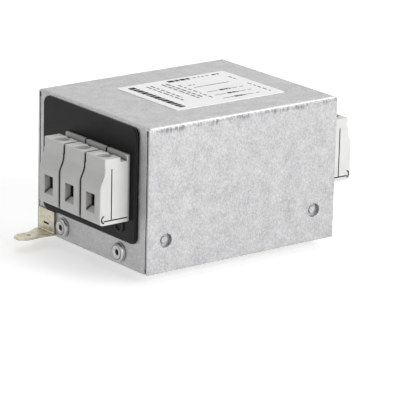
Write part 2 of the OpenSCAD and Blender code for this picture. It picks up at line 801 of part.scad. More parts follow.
module board_screws() {
  color("silver") at_posts() difference() {
    union() {
      translate([0, 0, board_z - 4]) cylinder(h = board_t + 4.5, r = post_hole_r - hole_play);
      translate([0, 0, board_top]) cylinder(h = post_head_h, r = post_screw_r);
    }
    translate([0, 0, board_top + post_head_h]) {
      cube([post_slot_l, post_slot_w, 1.6], center = true);
      cube([post_slot_w, post_slot_l, 1.6], center = true);
    }
  }
}

// ---- choke ----

module choke_core() {
  color("dimgray") translate([0, 0, core_z0]) rotate_extrude()
    translate([(core_r + core_hole_r) / 2, core_h / 2]) rounded_rect(core_r - core_hole_r, core_h, 1);
}

// Foot under the core with three walls that keep the windings apart
module choke_base() {
  color("ivory") {
    translate([0, 0, board_top]) cylinder(h = choke_base_t, r = core_r - 0.6);
    for (a = [30, 150, 270]) rotate([0, 0, a]) {
      translate([0, -rib_t / 2, board_top]) cube([core_r - 0.8, rib_t, core_z0 - board_top]);
      translate([0, -rib_t / 2, board_top]) cube([core_hole_r - coil_gap, rib_t, core_z1 - board_top]);
    }
  }
}

// One winding: a wire led up from the board, wound round the core and led down again
module choke_winding(i) {
  in_r = core_hole_r - coil_gap - wire_r;
  out_r = core_r + coil_gap + wire_r;
  low = core_z0 - coil_gap - wire_r;
  high = core_z1 + coil_gap + wire_r;
  c = 1.1;                                 // corners are cut off by this much
  a0 = 120 * i - 30 - turn_step * (turns - 1) / 2;
  path = concat(
    [[out_r, a0 - turn_step / 2, board_top], [out_r, a0 - turn_step / 2, low - 0.1],
     [out_r - c, a0 - turn_step / 2 + 1, low - 0.1 + c * 0.2]],
    [for (k = [0:turns - 1]) let (a = a0 + k * turn_step) each [
      [in_r + c, a, low], [in_r, a, low + c], [in_r, a, high - c], [in_r + c, a, high],
      [out_r - c, a, high], [out_r, a, high - c],
      if (k < turns - 1) each [[out_r, a, low + c], [out_r - c, a + 1, low]]
    ]],
    [[out_r, a0 + (turns - 1) * turn_step, board_top]]
  );
  color("peru") wire(path, (core_r + core_hole_r) / 2);
}

// Sweeps a wire along points given as [radius, angle, z]; it winds round a ring of radius ring_r
module wire(path, ring_r) {
  sides = 8;
  n = len(path);
  p = [for (q = path) [q[0] * cos(q[1]), q[0] * sin(q[1]), q[2]]];
  mid_z = (core_z0 + core_z1) / 2;
  rings = [for (i = [0:n - 1])
    let (t = unit(p[min(i + 1, n - 1)] - p[max(i - 1, 0)]),
         out = p[i] - [ring_r * cos(path[i][1]), ring_r * sin(path[i][1]), mid_z],
         u = unit(out - t * (out * t)), v = cross(t, u))
      each [for (k = [0:sides - 1]) let (a = 360 * k / sides) p[i] + wire_r * (cos(a) * u + sin(a) * v)]];
  polyhedron(rings, concat(
    [[for (k = [0:sides - 1]) k]],
    [for (i = [0:n - 2], k = [0:sides - 1])
      let (a = i * sides + k, b = i * sides + (k + 1) % sides) [a, a + sides, b + sides, b]],
    [[for (k = [sides - 1:-1:0]) (n - 1) * sides + k]]
  ));
}

// ---- capacitors and resistors ----

// Box capacitor of one phase, in a row between the bars and the choke
module box_capacitor(i, side) {
  w = cap_pitch - cap_gap;
  rim = 1;
  color("steelblue") translate([(i - 2) * cap_pitch, side * cap_y, board_top]) difference() {
    translate([0, 0, cap_h / 2]) cube([w, cap_l, cap_h], center = true);
    cube([w - 2 * rim, cap_l - 2 * rim, cap_foot_h], center = true);
  }
}

// Disc capacitors from the phases to earth, standing along the right edge of the board
module earth_capacitors() {
  edge = 0.8;
  x = board_w / 2 - disc_cap_t / 2 - edge_gap;
  color("royalblue") for (i = PHASES)
    translate([x, (i - 2) * small_pitch, board_top + disc_cap_r + lead_rise]) {
      rotate([0, 90, 0]) rotate_extrude() polygon(concat(
        [[0, -disc_cap_t / 2]], arc([disc_cap_r - edge, edge - disc_cap_t / 2], edge, -90, 0, 4),
        arc([disc_cap_r - edge, disc_cap_t / 2 - edge], edge, 0, 90, 4), [[0, disc_cap_t / 2]]));
      for (s = [-1, 1]) translate([0, s * lead_spread, -disc_cap_r - lead_rise])
        cylinder(h = 2 * lead_rise, r = lead_r);
    }
}

// Discharge resistors along the left edge of the board
module discharge_resistors() {
  rise = 0.3;
  end = resistor_l / 2 + 1;
  x = resistor_r + edge_gap - board_w / 2;
  color("tan") for (i = PHASES)
    translate([x, (i - 2) * small_pitch, board_top + resistor_r + rise]) {
      rotate([90, 0, 0]) cylinder(h = resistor_l, r = resistor_r, center = true);
      for (s = [-1, 1]) {
        translate([0, s * (end - 0.5), 0]) rotate([90, 0, 0])
          cylinder(h = 1 + 2 * lead_r, r = lead_r, center = true);
        translate([0, s * end, -resistor_r - rise]) cylinder(h = resistor_r + rise + lead_r, r = lead_r);
      }
    }
}

// ---- the assembly ----

cover();
base_plate();
panel([for (i = PHASES) line_x(i)]);  // front_panel
mirror([0, 1, 0]) panel([for (i = PHASES) load_x(i)]);  // rear_panel
label();
earth_tab();
end_rivets();  // front_rivets
mirror([0, 1, 0]) end_rivets();  // rear_rivets
rail_clip();
clip_rivets();
for (i = PHASES) at_line(i) clamp_screw();  // line_clamp_screws
for (i = PHASES) at_load(i) clamp_screw();  // load_clamp_screws
for (i = PHASES) {
  at_line(i) terminal();
  at_load(i) terminal();
  at_line(i) clamp_body();
  at_load(i) clamp_body();
  at_line(i) current_bar();
  at_load(i) current_bar();
  choke_winding(i);
  box_capacitor(i, -1);
  box_capacitor(i, 1);
}
circuit_board();
insulating_sheet();
board_standoffs();
board_screws();
choke_core();
choke_base();
earth_capacitors();
discharge_resistors();
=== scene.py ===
"""Finishes the line filter: materials and fine detail for each of its pieces, and a small studio round it.

Sizes are in metres; a size given in millimetres is multiplied by MM. +X runs along the rail, -Y faces the
supply side.
"""

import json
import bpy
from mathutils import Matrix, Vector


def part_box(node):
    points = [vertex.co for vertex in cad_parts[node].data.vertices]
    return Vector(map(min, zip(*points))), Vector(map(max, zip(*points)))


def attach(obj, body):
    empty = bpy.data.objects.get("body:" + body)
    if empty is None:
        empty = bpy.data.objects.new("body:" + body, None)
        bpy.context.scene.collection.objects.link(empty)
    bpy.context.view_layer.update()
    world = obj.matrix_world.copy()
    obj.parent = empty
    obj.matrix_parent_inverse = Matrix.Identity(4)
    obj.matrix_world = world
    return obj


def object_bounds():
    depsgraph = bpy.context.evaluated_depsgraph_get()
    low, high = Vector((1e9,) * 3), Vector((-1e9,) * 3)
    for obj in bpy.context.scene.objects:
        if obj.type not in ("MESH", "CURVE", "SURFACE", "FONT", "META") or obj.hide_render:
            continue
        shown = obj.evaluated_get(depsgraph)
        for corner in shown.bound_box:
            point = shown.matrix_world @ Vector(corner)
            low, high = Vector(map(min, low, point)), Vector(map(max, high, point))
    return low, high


bl_info = {
    "name": "Line Filter Finisher",
    "version": (1, 0, 0),
    "blender": (4, 5, 0),
    "location": "View3D > Sidebar > Line Filter",
    "description": "Dresses the pieces of a line filter and builds the stage that it is shown on",
    "category": "Object",
}

from math import radians

import bmesh
import bpy
from bpy.props import FloatProperty, FloatVectorProperty, PointerProperty
from bpy.types import Operator, Panel, PropertyGroup
from mathutils import Euler, Matrix, Vector

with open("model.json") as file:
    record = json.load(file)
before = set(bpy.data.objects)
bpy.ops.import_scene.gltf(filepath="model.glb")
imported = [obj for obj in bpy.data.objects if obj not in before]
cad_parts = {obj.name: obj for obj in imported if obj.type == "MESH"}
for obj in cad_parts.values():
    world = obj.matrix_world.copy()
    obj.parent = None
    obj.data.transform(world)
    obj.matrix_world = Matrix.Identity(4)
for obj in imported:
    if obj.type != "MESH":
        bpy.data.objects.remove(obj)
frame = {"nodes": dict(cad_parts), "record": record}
NODES = frame["nodes"]
CAD_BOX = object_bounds()
BASE_COLOURS = {m["slot"]: m["base_color"] for m in frame["record"]["materials"]}
MM = 0.001
PHASES = (1, 2, 3)
SIDES = ("line", "load")


# ---- sizes and colours that a user would change ----


def colour_property(name, description, default):
    return FloatVectorProperty(
        name=name, description=description, subtype="COLOR", size=3, min=0, max=1, default=default
    )


def length_property(name, description, default_mm):
    return FloatProperty(
        name=name, description=description, subtype="DISTANCE", unit="LENGTH", min=0, precision=5,
        default=default_mm * MM,
    )


def factor_property(name, description, default, top=1.0):
    return FloatProperty(
        name=name, description=description, subtype="FACTOR", min=0, max=top, default=default
    )


def power_property(name, description, default):
    return FloatProperty(
        name=name, description=description, subtype="POWER", unit="POWER", default=default, min=0
    )


class SteelSettings(PropertyGroup):
    """Zinc-coated sheet of the cover, base plate and clip"""

    colour: colour_property("Colour", "Colour of the zinc coat", (0.435, 0.435, 0.44))
    spangle: length_property("Spangle", "Size of the coat's soft patches", 0.6)
    spangle_depth: factor_property("Spangle depth", "How far the patches differ in brightness", 0.5)
    roughness: factor_property("Roughness", "Roughness of the coat", 0.47)
    # width of the painted highlight along each fold
    fold_highlight_width: length_property("Crease width", "Width of the bright stretched line along a fold", 0.4)
    crease_reach: length_property("Crease reach", "How far stretch marks run down from a fold", 3.6)


class MouldingSettings(PropertyGroup):
    """Moulded end panels and terminals"""

    panel_colour: colour_property("Panel", "Colour of the end panels", (0.007, 0.007, 0.0075))
    terminal_colour: colour_property("Terminals", "Colour of the terminals", (0.64, 0.64, 0.625))
    grain: length_property("Grain", "Size of the moulded grain", 0.35)


class LabelSettings(PropertyGroup):
    """The label's film and the plain print on it"""

    film: colour_property("Film", "Colour of the film", (0.90, 0.90, 0.895))
    ink: colour_property("Ink", "Colour of the print", (0.006, 0.006, 0.0065))
    pale_ink: colour_property("Thin ink", "Colour of the thin rows", (0.12, 0.12, 0.125))
    print_height: length_property("Print height", "Thickness of the print on the film", 0.02)


class MetalSettings(PropertyGroup):
    """Small metal parts"""

    tab_colour: colour_property("Tab", "Colour of the tinned earth tab", (0.58, 0.54, 0.435))
    rivet_colour: colour_property("Rivets", "Colour of the blind rivets", (0.52, 0.52, 0.525))
    screw_colour: colour_property("Screws", "Colour of the plated screws", BASE_COLOURS["screw_steel"])


class StageSettings(PropertyGroup):
    """Floor, lamps and camera"""

    floor_colour: colour_property("Floor", "Colour of the floor", (0.86, 0.86, 0.86))
    floor_size: FloatProperty(
        name="Floor size", description="Length of the floor's sides", subtype="DISTANCE", unit="LENGTH",
        default=8.0, min=1.0,
    )
    key_power: power_property("Key lamp", "Power of the lamp on the right", 6.4)
    top_power: power_property("Top lamp", "Power of the lamp above", 3.2)
    front_power: power_property("Front lamp", "Power of the lamp in front", 0.45)
    world_strength: factor_property("World", "Strength of the even light", 0.35, top=2.0)
    floor_lift: factor_property("Floor lift", "How far the floor is lifted to white", 0.42)
    reflected: factor_property("Reflected", "Brightness of the studio in reflections", 0.95, top=2.0)
    lens: FloatProperty(
        name="Lens", description="Focal length of the camera", subtype="DISTANCE_CAMERA",
        default=258.1, min=10,
    )
    viewpoint: FloatVectorProperty(
        name="Viewpoint", description="Where the camera stands", subtype="TRANSLATION", unit="LENGTH",
        default=(0.73328, -0.56697, 0.28985),
    )
    turn: FloatVectorProperty(
        name="Turn", description="How the camera is turned", subtype="EULER", unit="ROTATION",
        default=(radians(73.3516), radians(-1.3732), radians(52.3994)),
    )


# ---- node trees ----


def new_group(name, inputs, outputs):
    """An empty shader node group: inputs are (name, kind, default), outputs are (name, kind)."""
    tree = bpy.data.node_groups.new(name, "ShaderNodeTree")
    for label, kind, default in inputs:
        socket = tree.interface.new_socket(label, in_out="INPUT", socket_type="NodeSocket" + kind)
        if default is not None:
            socket.default_value = default
    for label, kind in outputs:
        tree.interface.new_socket(label, in_out="OUTPUT", socket_type="NodeSocket" + kind)
    return tree, tree.nodes.new("NodeGroupInput").outputs, tree.nodes.new("NodeGroupOutput").inputs


def feed(tree, socket, value):
    """Gives an input its value; a value that is a socket is linked."""
    if isinstance(value, bpy.types.NodeSocket):
        tree.links.new(value, socket)
    else:
        socket.default_value = value


def node(tree, kind, settings=None, **values):
    """A node with its settings and its input values; _0 and _1 stand for the first and second input."""
    made = tree.nodes.new("ShaderNode" + kind)
    for key, value in (settings or {}).items():
        setattr(made, key, value)
    for key, value in values.items():
        feed(tree, made.inputs[int(key[1:]) if key[0] == "_" else key.replace("_", " ")], value)
    return made


def maths(tree, operation, *values, clamp=False):
    """The result of one sum on numbers or sockets."""
    made = node(tree, "Math", {"operation": operation, "use_clamp": clamp})
    for socket, value in zip(made.inputs, values):
        feed(tree, socket, value)
    return made.outputs[0]


def mix_colour(tree, factor, a, b, blend="MIX"):
    """Mixes two colours, each a socket or a tuple of three numbers."""
    made = node(tree, "Mix", {"data_type": "RGBA", "blend_type": blend})
    feed(tree, made.inputs[0], factor)
    for socket, colour in ((made.inputs[6], a), (made.inputs[7], b)):
        feed(tree, socket, (*colour, 1) if isinstance(colour, tuple) else colour)
    return made.outputs[2]


def ramp(tree, value, low, high, to_low=0.0, to_high=1.0):
    """Maps low..high smoothly to to_low..to_high."""
    made = node(
        tree, "MapRange", {"interpolation_type": "SMOOTHSTEP"}, Value=value,
        From_Min=low, From_Max=high, To_Min=to_low, To_Max=to_high,
    )
    return made.outputs["Result"]


# How much the coat's patches, broad clouds and upright streaks each count
PATCH_SHARE, CLOUD_SHARE, STREAK_SHARE = 2.0, 0.7, 0.9
# Cosine between the true and the rounded normal, where an edge begins and where it is in full
EDGE_BEGINS, EDGE_FULL = 0.995, 0.86


def build_spangle_group():
    """Soft patches, broad clouds and upright streaks of a zinc coat, or of another metal's tarnish."""
    tree, given, result = new_group(
        "zinc_spangle",
        [("Vector", "Vector", None), ("Patch", "Float", 0.0016), ("Depth", "Float", 0.1)],
        [("Shade", "Float"), ("Height", "Float")],
    )
    density = maths(tree, "DIVIDE", 1.0, given["Patch"])
    patches = node(tree, "TexNoise", Vector=given["Vector"], Scale=density, Detail=3.0, Roughness=0.62)
    clouds = node(
        tree, "TexNoise", Vector=given["Vector"], Scale=maths(tree, "MULTIPLY", density, 0.14), Detail=2.0
    )
    streaks = node(
        tree, "TexNoise", Scale=maths(tree, "MULTIPLY", density, 1.2), Detail=2.0,
        Vector=node(tree, "Mapping", Vector=given["Vector"], Scale=(1.6, 1.6, 0.35)).outputs[0],
    )
    patch, cloud, streak = (
        maths(tree, "MULTIPLY", maths(tree, "SUBTRACT", noise.outputs[0], 0.5), share)
        for noise, share in ((patches, PATCH_SHARE), (clouds, CLOUD_SHARE), (streaks, STREAK_SHARE))
    )
    total = maths(tree, "ADD", maths(tree, "ADD", patch, cloud), streak)
    shade = maths(tree, "MULTIPLY_ADD", total, given["Depth"], 1.0)
    tree.links.new(shade, result["Shade"])
    tree.links.new(patches.outputs[0], result["Height"])
    return tree


def build_grain_group():
    """Fine even grain of a moulded or painted surface."""
    tree, given, result = new_group(
        "moulded_grain",
        [("Vector", "Vector", None), ("Size", "Float", 0.0004)],
        [("Shade", "Float"), ("Height", "Float")],
    )
    density = maths(tree, "DIVIDE", 1.0, given["Size"])
    fine = node(tree, "TexNoise", Vector=given["Vector"], Scale=density, Detail=2.0, Roughness=0.55)
    flow = node(tree, "TexNoise", Vector=given["Vector"], Scale=maths(tree, "MULTIPLY", density, 0.03))
    tree.links.new(fine.outputs[0], result["Height"])
    tree.links.new(ramp(tree, flow.outputs[0], 0.3, 0.7, 0.97, 1.03), result["Shade"])
    return tree


def build_edge_group():
    """1 along an object's sharp edges, 0 on its faces, broken up a little; painted highlights are laid along
    it.
    """
    tree, given, result = new_group(
        "rubbed_edge",
        [("Vector", "Vector", None), ("Rounded Normal", "Vector", None), ("Breakup", "Float", 0.4)],
        [("Mask", "Float")],
    )
    face = node(tree, "NewGeometry").outputs["Normal"]
    along = node(tree, "VectorMath", {"operation": "DOT_PRODUCT"}, _0=face, _1=given["Rounded Normal"])
    edge = ramp(tree, along.outputs["Value"], EDGE_BEGINS, EDGE_FULL)
    gaps = node(tree, "TexNoise", Vector=given["Vector"], Scale=900.0, Detail=2.0).outputs[0]
    lost = maths(tree, "MULTIPLY", gaps, given["Breakup"])
    kept = maths(tree, "SUBTRACT", 1.0, lost, clamp=True)
    tree.links.new(maths(tree, "MULTIPLY", edge, kept), result["Mask"])
    return tree


def build_marks_group():
    """Sparse handling marks: faint smears that change how rough a surface is."""
    tree, given, result = new_group(
        "handling_marks", [("Vector", "Vector", None), ("Amount", "Float", 0.05)], [("Roughness", "Float")]
    )
    turned = node(tree, "Mapping", Vector=given["Vector"], Rotation=(0.4, 0.3, 0.9), Scale=(1.0, 0.25, 1.0))
    smears = node(tree, "TexNoise", Vector=turned.outputs[0], Scale=160.0, Detail=4.0, Roughness=0.6)
    mark = ramp(tree, smears.outputs[0], 0.45, 0.72)
    tree.links.new(maths(tree, "MULTIPLY", mark, given["Amount"]), result["Roughness"])
    return tree


def build_crease_group():
    """Marks at the cover's long folds: a painted highlight along each fold and short stretch streaks under
    it.
    """
    tree, given, result = new_group(
        "fold_crease",
        [("Vector", "Vector", None), ("Half Size", "Vector", None), ("Width", "Float", 0.0005),
         ("Reach", "Float", 0.003)],
        [("Line", "Float"), ("Streaks", "Float")],
    )
    place = node(tree, "SeparateXYZ", _0=given["Vector"]).outputs
    half = node(tree, "SeparateXYZ", _0=given["Half Size"]).outputs
    normal = node(tree, "SeparateXYZ", _0=node(tree, "NewGeometry").outputs["Normal"]).outputs
    from_x = maths(tree, "SUBTRACT", half["X"], maths(tree, "ABSOLUTE", place["X"]))
    from_y = maths(tree, "SUBTRACT", half["Y"], maths(tree, "ABSOLUTE", place["Y"]))
    from_top = maths(tree, "SUBTRACT", half["Z"], place["Z"])
    off_fold = maths(tree, "ABSOLUTE", maths(tree, "SUBTRACT", from_x, from_top))
    close = maths(tree, "MAXIMUM", from_x, from_top)
    on_fold = ramp(tree, maths(tree, "DIVIDE", close, given["Width"]), 2.2, 1.0)
    narrow = ramp(tree, maths(tree, "DIVIDE", off_fold, given["Width"]), 0.9, 0.3)
    # painted highlight: a narrow line along each side fold
    line = maths(tree, "MULTIPLY", on_fold, narrow)
    streak_noise = node(
        tree, "TexNoise", Scale=1300.0, Detail=2.0, Roughness=0.6,
        Vector=node(tree, "Mapping", Vector=given["Vector"], Scale=(1.0, 1.0, 0.22)).outputs[0],
    ).outputs[0]
    bunches = node(tree, "TexNoise", Vector=given["Vector"], Scale=170.0, Detail=1.0).outputs[0]
    reach = maths(tree, "MULTIPLY", given["Reach"], ramp(tree, bunches, 0.35, 0.65, 0.35, 1.0))
    upright = ramp(tree, maths(tree, "ABSOLUTE", normal["X"]), 0.6, 0.95)
    fade = ramp(tree, maths(tree, "DIVIDE", from_top, reach), 1.0, 0.3)
    band = maths(tree, "MULTIPLY", fade, upright)
    streaks = maths(tree, "MULTIPLY", band, ramp(tree, streak_noise, 0.38, 0.62, 0.3, 1.0))
    before_end = ramp(tree, from_y, 0.4 * MM, 1.2 * MM)
    tree.links.new(maths(tree, "MULTIPLY", line, before_end), result["Line"])
    tree.links.new(streaks, result["Streaks"])
    return tree


GROUPS = {
    "zinc_spangle": build_spangle_group,
    "moulded_grain": build_grain_group,
    "rubbed_edge": build_edge_group,
    "handling_marks": build_marks_group,
    "fold_crease": build_crease_group,
}


def effect(tree, name, **values):
    """A shared effect placed in a material, built the first time it is used."""
    made = tree.nodes.new("ShaderNodeGroup")
    made.node_tree = bpy.data.node_groups.get(name) or GROUPS[name]()
    for key, value in values.items():
        feed(tree, made.inputs[key.replace("_", " ")], value)
    return made.outputs


def new_material(name, metallic=0.0, roughness=0.5, **shader_values):
    """A material with one Principled BSDF; returns it, its tree, its shader and its Object coordinates."""
    material = bpy.data.materials.new(name)
    material.use_nodes = True
    tree = material.node_tree
    shader = tree.nodes["Principled BSDF"]
    shader.inputs["Metallic"].default_value = metallic
    shader.inputs["Roughness"].default_value = roughness
    for key, value in shader_values.items():
        shader.inputs[key.replace("_", " ")].default_value = value
    place = node(tree, "TexCoord").outputs["Object"]
    return material, tree, shader, place


def set_bump(tree, shader, height, distance, strength, normal=None):
    """Bumps a shader's surface, on top of a given normal if there is one."""
    bump = node(tree, "Bump", Height=height, Distance=distance, Strength=strength)
    if normal is not None:
        tree.links.new(normal, bump.inputs["Normal"])
    tree.links.new(bump.outputs[0], shader.inputs["Normal"])


def paint_crevice_shade(tree, colour, depth, distance=1.6, shut=0.25, clear=0.95):
    """Paints shade into a colour: darkens it in corners, gaps and pockets, within `distance` in millimetres.

    It is darkened by `depth` where less than `shut` of the sky is seen, and not at all above `clear`.
    """
    open_sky = node(tree, "AmbientOcclusion", {"samples": 8}, Distance=distance * MM).outputs["AO"]
    return mix_colour(tree, 1.0, colour, ramp(tree, open_sky, shut, clear, 1.0 - depth, 1.0), "MULTIPLY")


def soften_edges(tree, place, radius, breakup):
    """A normal that rounds sharp edges by a radius in millimetres, and a mask of those edges."""
    normal = node(tree, "Bevel", {"samples": 6}, Radius=radius * MM).outputs[0]
    # mask of sharp edges, where painted highlights go
    mask = effect(tree, "rubbed_edge", Vector=place, Rounded_Normal=normal, Breakup=breakup)["Mask"]
    return normal, mask


def set_roughness(tree, shader, place, base, marks):
    """A base roughness, raised by up to `marks` where the surface was handled."""
    handled = effect(tree, "handling_marks", Vector=place, Amount=marks)["Roughness"]
    tree.links.new(maths(tree, "ADD", handled, base), shader.inputs["Roughness"])


# ---- materials ----

# colour of the painted highlight on the zinc's sharp edges
ZINC_EDGE_HIGHLIGHT = (0.85, 0.85, 0.86)
STRETCH_STREAK = (0.13, 0.13, 0.13)
# colour of the painted highlight along a fold
FOLD_HIGHLIGHT = (0.97, 0.97, 0.97)
STAIN_BROWN = (0.2, 0.14, 0.075)
# colour of the painted shade in a rivet's groove
GROOVE_SHADE = (0.06, 0.06, 0.06)


def steel_material(name, settings, colour, creases=False):
    """Zinc-coated sheet with painted shade in its narrow gaps and corners; `creases` adds stretch marks and a
    painted highlight at the cover's folds.
    """
    material, tree, shader, place = new_material(name, metallic=1.0, roughness=settings.roughness)
    coat = effect(tree, "zinc_spangle", Vector=place, Patch=settings.spangle, Depth=settings.spangle_depth)
    normal, edge = soften_edges(tree, place, radius=0.25, breakup=0.5)
    base = mix_colour(tree, 1.0, tuple(colour), coat["Shade"], "MULTIPLY")
    # painted highlight along the sheet's sharp edges
    base = mix_colour(tree, maths(tree, "MULTIPLY", edge, 0.35), base, ZINC_EDGE_HIGHLIGHT)
    rough = maths(
        tree, "ADD", effect(tree, "handling_marks", Vector=place, Amount=0.06)["Roughness"],
        ramp(tree, coat["Height"], 0.3, 0.7, settings.roughness - 0.05, settings.roughness + 0.05),
    )
    if creases:
        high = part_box("cover")[1]
        crease = effect(
            tree, "fold_crease", Vector=place, Half_Size=tuple(high), Width=settings.fold_highlight_width,
            Reach=settings.crease_reach,
        )
        base = mix_colour(tree, maths(tree, "MULTIPLY", crease["Streaks"], 0.8), base, STRETCH_STREAK)
        # painted highlight along each fold
        base = mix_colour(tree, maths(tree, "MULTIPLY", crease["Line"], 0.85), base, FOLD_HIGHLIGHT)
        rough = maths(tree, "SUBTRACT", rough, maths(tree, "MULTIPLY", crease["Line"], 0.1))
    # painted shade: the colour is darkened in narrow gaps and corners
    seam_shade = paint_crevice_shade(tree, base, depth=0.95, distance=1.2, shut=0.3, clear=0.62)
    tree.links.new(seam_shade, shader.inputs["Base Color"])
    tree.links.new(rough, shader.inputs["Roughness"])
    set_bump(tree, shader, coat["Height"], distance=0.01 * MM, strength=0.5, normal=normal)
    return material


def moulding_material(
    name, colour, grain, roughness=0.55, edge_highlight=0.15, edge_radius=0.2, depth=0.012, specular=0.5,
    shade=0.75,
):
    """Moulded plastic with a fine grain, painted highlights on its edges and painted shade in its gaps,
    `shade` deep.

    The edge's radius and the grain's depth are in millimetres.
    """
    material, tree, shader, place = new_material(name, roughness=roughness, Specular_IOR_Level=specular)
    skin = effect(tree, "moulded_grain", Vector=place, Size=grain)
    normal, edge = soften_edges(tree, place, edge_radius, breakup=0.3)
    base = mix_colour(tree, 1.0, tuple(colour), skin["Shade"], "MULTIPLY")
    pale = tuple(c + (1 - c) * 0.35 for c in colour)
    # painted highlight along sharp edges
    base = mix_colour(tree, maths(tree, "MULTIPLY", edge, edge_highlight), base, pale)
    # painted shade in gaps and corners, `shade` deep
    tree.links.new(paint_crevice_shade(tree, base, shade, shut=0.4), shader.inputs["Base Color"])
    set_roughness(tree, shader, place, roughness - 0.02, marks=0.08)
    set_bump(tree, shader, skin["Height"], distance=depth * MM, strength=0.6, normal=normal)
    return material


def metal_material(name, colour, roughness=0.35, tarnish=0.12, patch=2.5, edge_radius=0.15, stain=0.0):
    """Plain or plated metal with a little uneven tarnish, painted highlights on its edges and, if wanted,
    brown stains.

    The tarnish's patches and the edge's radius are in millimetres.
    """
    material, tree, shader, place = new_material(name, metallic=1.0, roughness=roughness)
    coat = effect(tree, "zinc_spangle", Vector=place, Patch=patch * MM, Depth=tarnish)
    normal, edge = soften_edges(tree, place, edge_radius, breakup=0.4)
    base = mix_colour(tree, 1.0, tuple(colour), coat["Shade"], "MULTIPLY")
    bright = tuple(c + (1 - c) * 0.4 for c in colour)
    if stain:
        blots = node(tree, "TexNoise", Vector=place, Scale=480.0, Detail=4.0, Roughness=0.62).outputs[0]
        base = mix_colour(tree, ramp(tree, blots, 0.48, 0.7, 0.0, stain), base, STAIN_BROWN)
    # painted highlight along sharp edges
    base = mix_colour(tree, maths(tree, "MULTIPLY", edge, 0.5), base, bright)
    # painted shade in gaps and corners
    tree.links.new(paint_crevice_shade(tree, base, depth=0.75), shader.inputs["Base Color"])
    set_roughness(tree, shader, place, roughness - 0.03, marks=0.1)
    set_bump(tree, shader, coat["Height"], distance=0.008 * MM, strength=0.5, normal=normal)
    return material


def film_material(name, colour, roughness=0.4, specular=0.5):
    """Smooth film, print or pressed paper with a faint flow."""
    material, tree, shader, place = new_material(name, roughness=roughness, Specular_IOR_Level=specular)
    skin = effect(tree, "moulded_grain", Vector=place, Size=0.9 * MM)
    base = mix_colour(tree, 1.0, tuple(colour), skin["Shade"], "MULTIPLY")
    tree.links.new(base, shader.inputs["Base Color"])
    set_roughness(tree, shader, place, roughness - 0.02, marks=0.08)
    set_bump(tree, shader, skin["Height"], distance=0.004 * MM, strength=0.4)
    return material


# ---- pieces ----


def dress(material, *names):
    """Puts a material on CAD nodes and leaves their shape as it is."""
    for name in names:
        mesh = NODES[name].data
        mesh.materials.clear()
        mesh.materials.append(material)


def place_piece(shape, name, material):
    """Makes a piece from a bmesh and lets it ride on the filter's body."""
    mesh = bpy.data.meshes.new(name)
    shape.to_mesh(mesh)
    shape.free()
    piece = bpy.data.objects.new(name, mesh)
    bpy.context.scene.collection.objects.link(piece)
    mesh.materials.append(material)
    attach(piece, "root")


def add_slab(shape, centre, size):
    """Adds a thin block to a bmesh."""
    scaled = Matrix.Translation(centre) @ Matrix.Diagonal((*size, 1.0))
    bmesh.ops.create_cube(shape, size=1.0, matrix=scaled)


class FinishOperator:
    """What every operator here has in common"""

    bl_options = {"REGISTER", "UNDO"}


class LINEFILTER_OT_housing(FinishOperator, Operator):
    """Finish the folded cover and the base plate in zinc-coated steel"""

    bl_idname = "linefilter.housing"
    bl_label = "Housing"

    def execute(self, context):
        steel = context.scene.filter_steel
        dress(steel_material("zinc_coated_cover", steel, steel.colour, creases=True), "cover")
        dress(steel_material("zinc_coated_base", steel, BASE_COLOURS["base_steel"]), "base_plate")
        return {"FINISHED"}


class LINEFILTER_OT_rail_clip(FinishOperator, Operator):
    """Finish the spring clip and its rivets"""

    bl_idname = "linefilter.rail_clip"
    bl_label = "Rail clip"

    def execute(self, context):
        steel = context.scene.filter_steel
        dress(steel_material("zinc_coated_spring", steel, BASE_COLOURS["spring_steel"]), "rail_clip")
        colour = context.scene.filter_metal.rivet_colour
        dress(metal_material("plain_rivet", colour, roughness=0.42), "clip_rivets")
        return {"FINISHED"}


class LINEFILTER_OT_panels(FinishOperator, Operator):
    """Finish the two moulded end panels"""

    bl_idname = "linefilter.panels"
    bl_label = "End panels"

    def execute(self, context):
        moulding = context.scene.filter_moulding
        black = moulding_material(
            "black_moulding", moulding.panel_colour, moulding.grain, roughness=0.42, edge_highlight=0.4,
            depth=0.03, specular=0.16, shade=0.9,
        )
        dress(black, "front_panel", "rear_panel")
        return {"FINISHED"}


class LINEFILTER_OT_terminals(FinishOperator, Operator):
    """Finish the six terminals in pale grey plastic"""

    bl_idname = "linefilter.terminals"
    bl_label = "Terminals"

    def execute(self, context):
        moulding = context.scene.filter_moulding
        grey = moulding_material(
            "grey_moulding", moulding.terminal_colour, moulding.grain, roughness=0.48, edge_highlight=0.7,
            shade=0.97,
        )
        for side in SIDES:
            dress(grey, *(f"{side}_terminal_{phase}" for phase in PHASES))
        return {"FINISHED"}


class LINEFILTER_OT_clamps(FinishOperator, Operator):
    """Finish the plated clamps, their screws and the current bars"""

    bl_idname = "linefilter.clamps"
    bl_label = "Clamps"

    def execute(self, context):
        metal = context.scene.filter_metal
        clamps = metal_material("nickel_plated_clamp", BASE_COLOURS["clamp_metal"], roughness=0.32)
        bars = metal_material("tinned_copper", BASE_COLOURS["bar_copper"], roughness=0.38)
        screws = metal_material("plated_screw", metal.screw_colour, roughness=0.36)
        for side in SIDES:
            dress(clamps, *(f"{side}_clamp_{phase}" for phase in PHASES))
            dress(bars, *(f"{side}_bar_{phase}" for phase in PHASES))
            dress(screws, f"{side}_clamp_screws")
        return {"FINISHED"}


